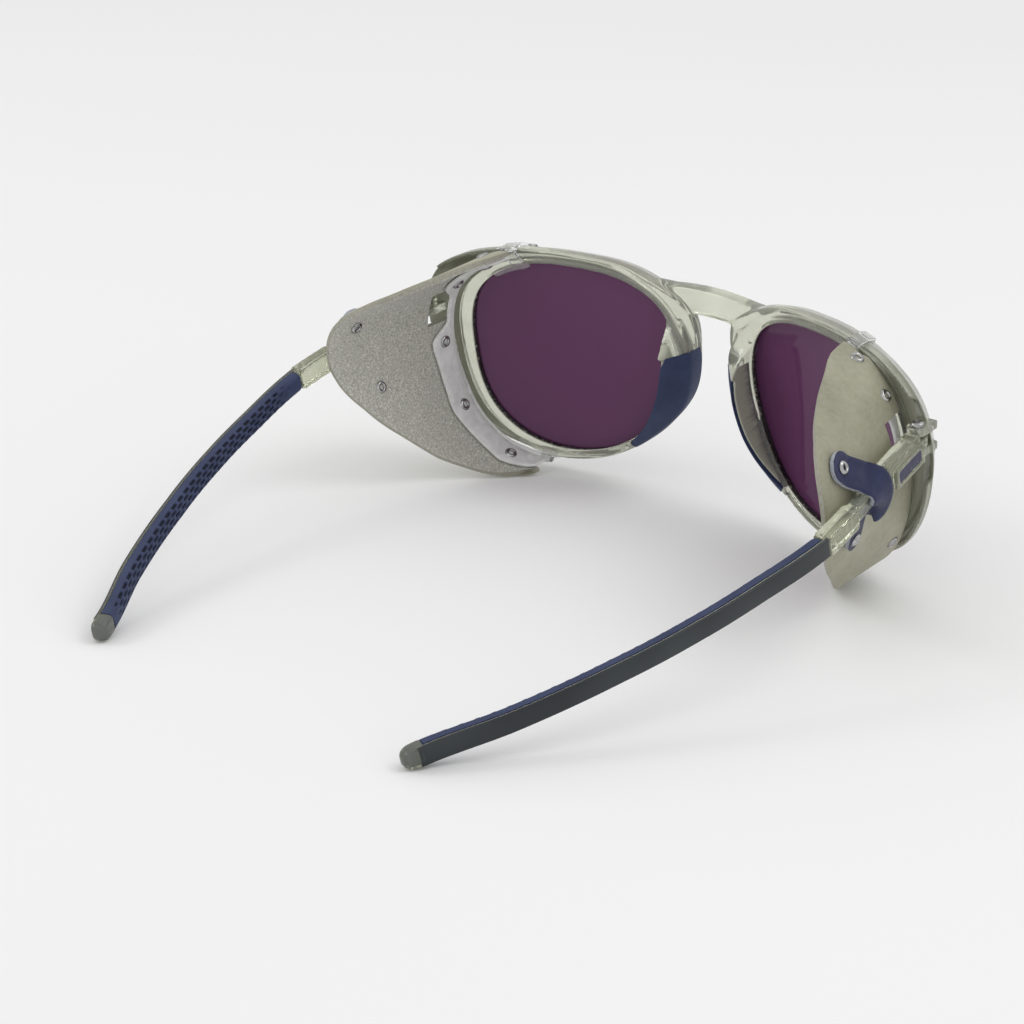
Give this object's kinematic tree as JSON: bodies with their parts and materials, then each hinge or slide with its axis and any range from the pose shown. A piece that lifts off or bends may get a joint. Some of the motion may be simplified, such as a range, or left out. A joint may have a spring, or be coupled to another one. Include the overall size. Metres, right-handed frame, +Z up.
{
  "type": "glacier glasses",
  "caption": "Dark round glacier glasses with leather side shields clipped to a clear front, and folding temples with rubber grips, resting open as on a table.",
  "frame": {"origin": "centre of the bounding box in plan, at the table surface under the resting glasses", "axes": "+X to the wearer's left, +Y back towards the ears, +Z up off the table; the upright front is pitched about 9 degrees forward at its top in this resting pose"},
  "size_m": [0.1522, 0.1566, 0.0576],
  "materials": {
    "frame_plastic": "glossy, translucent sage",
    "lens": "dark plum, polished",
    "rubber": "matte navy, dimpled",
    "shield_leather": "smooth greige outside, suede inside",
    "strap_leather": "smooth navy",
    "clear_plastic": "clear, slightly frosted",
    "badge": "dark, blank",
    "metal": "polished"
  },
  "bodies": {
    "front": {"front_frame": "frame_plastic", "lens_left": "lens", "nose_pad_left": "rubber", "hinge_screw_left": "metal", "shield_leather_left": "shield_leather", "shield_clip_left": "clear_plastic", "clip_rivet_1_left": "metal", "clip_rivet_2_left": "metal", "clip_rivet_3_left": "metal", "clip_rivet_4_left": "metal", "clip_rivet_5_left": "metal", "lens_right": "lens", "nose_pad_right": "rubber", "hinge_screw_right": "metal", "shield_leather_right": "shield_leather", "shield_clip_right": "clear_plastic", "clip_rivet_1_right": "metal", "clip_rivet_2_right": "metal", "clip_rivet_3_right": "metal", "clip_rivet_4_right": "metal", "clip_rivet_5_right": "metal"},
    "temple_left": {"temple_left": "frame_plastic", "temple_grip_left": "rubber", "badge_left": "badge", "strap_left": "strap_leather", "strap_rivet_upper_left": "metal", "strap_rivet_lower_left": "metal"},
    "temple_right": {"temple_right": "frame_plastic", "temple_grip_right": "rubber", "badge_right": "badge", "strap_right": "strap_leather", "strap_rivet_upper_right": "metal", "strap_rivet_lower_right": "metal"}
  },
  "joints": [
    {"name": "temple_left_hinge", "type": "hinge", "parent": "front", "child": "temple_left", "pos_m": [0.0682, -0.05041, 0.04005], "axis": [0, 0.1565, 0.9877], "range_deg": [0, 64], "deforming": ["shield_leather_left"]},
    {"name": "temple_right_hinge", "type": "hinge", "parent": "front", "child": "temple_right", "pos_m": [-0.0682, -0.05041, 0.04005], "axis": [0, -0.1565, -0.9877], "range_deg": [0, 73], "deforming": ["shield_leather_right"]}
  ]
}
